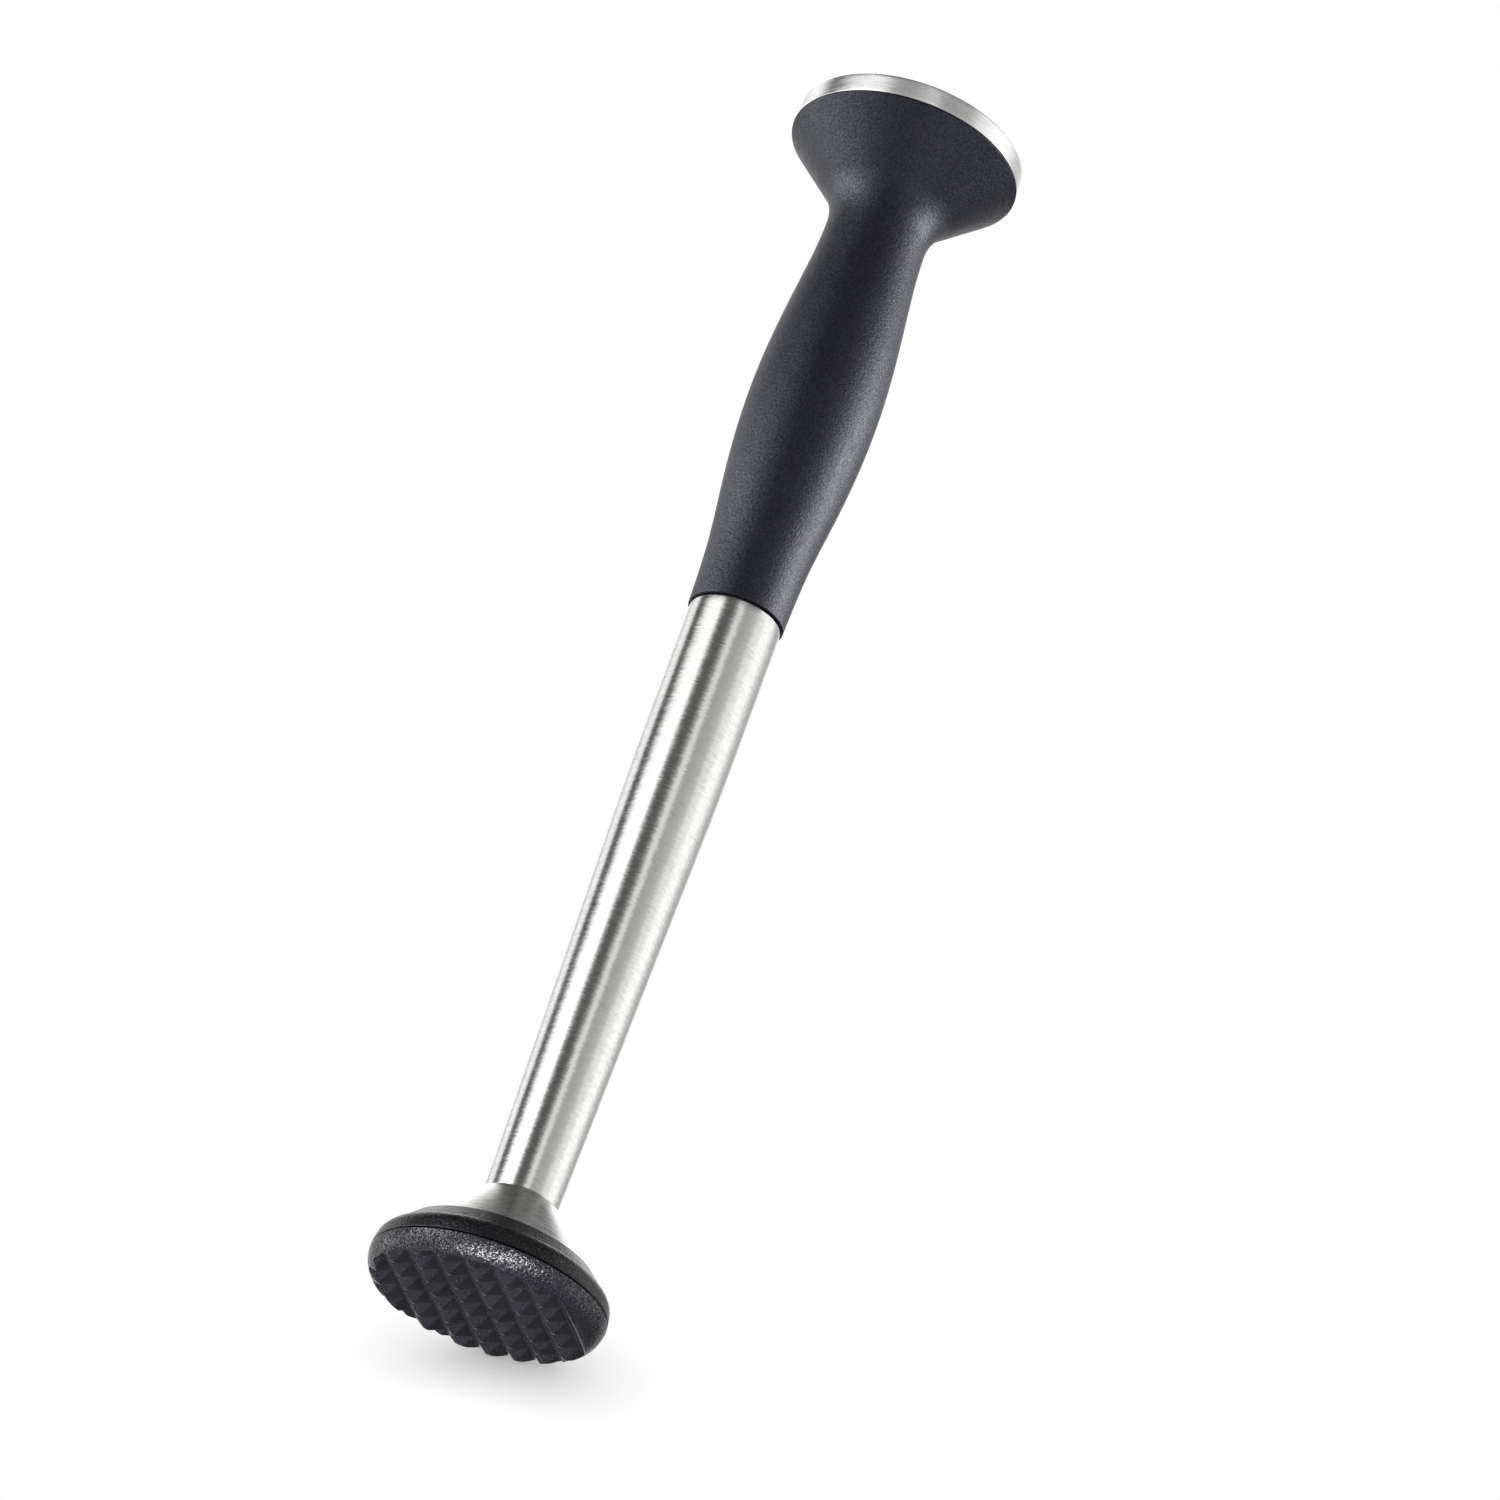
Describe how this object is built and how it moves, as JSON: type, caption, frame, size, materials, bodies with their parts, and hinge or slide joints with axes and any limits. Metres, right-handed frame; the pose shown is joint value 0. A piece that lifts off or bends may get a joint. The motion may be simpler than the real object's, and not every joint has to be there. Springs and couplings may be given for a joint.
{
  "type": "muddler",
  "caption": "Bar muddler: a toothed nylon head below a flared steel cone, a tapered brushed steel tube and a waisted rubber grip under a flat steel end cap.",
  "frame": {"origin": "centre of the plane through the tooth tips, on the axis of the tool", "axes": "+Z along the axis from the teeth to the end cap; X and Y along the two directions of tooth grooves, which are alike"},
  "size_m": [0.0407, 0.0406, 0.2292],
  "materials": {
    "head_nylon": "fine pebbled",
    "collar_nylon": "satin moulded",
    "silicone": "matte",
    "fastener_steel": "zinc plated",
    "cone_steel": "satin brushed",
    "tube_steel": "brushed around the axis",
    "plug_steel": "turned",
    "core_plastic": "moulded",
    "grip_rubber": "soft matte",
    "bond_foam": "foam",
    "cap_steel": "satin brushed"
  },
  "bodies": {
    "root": {"toothed_pad": "head_nylon", "head_collar": "collar_nylon", "cone_gasket": "silicone", "head_washer": "fastener_steel", "head_screw": "fastener_steel", "flare_cone": "cone_steel", "lower_plug": "plug_steel", "shaft_tube": "tube_steel", "upper_plug": "plug_steel", "handle_core": "core_plastic", "handle_oring": "silicone", "handle_washer": "fastener_steel", "handle_screw": "fastener_steel", "grip_sleeve": "grip_rubber", "cap_bond_pad": "bond_foam", "steel_cap": "cap_steel"}
  },
  "joints": []
}
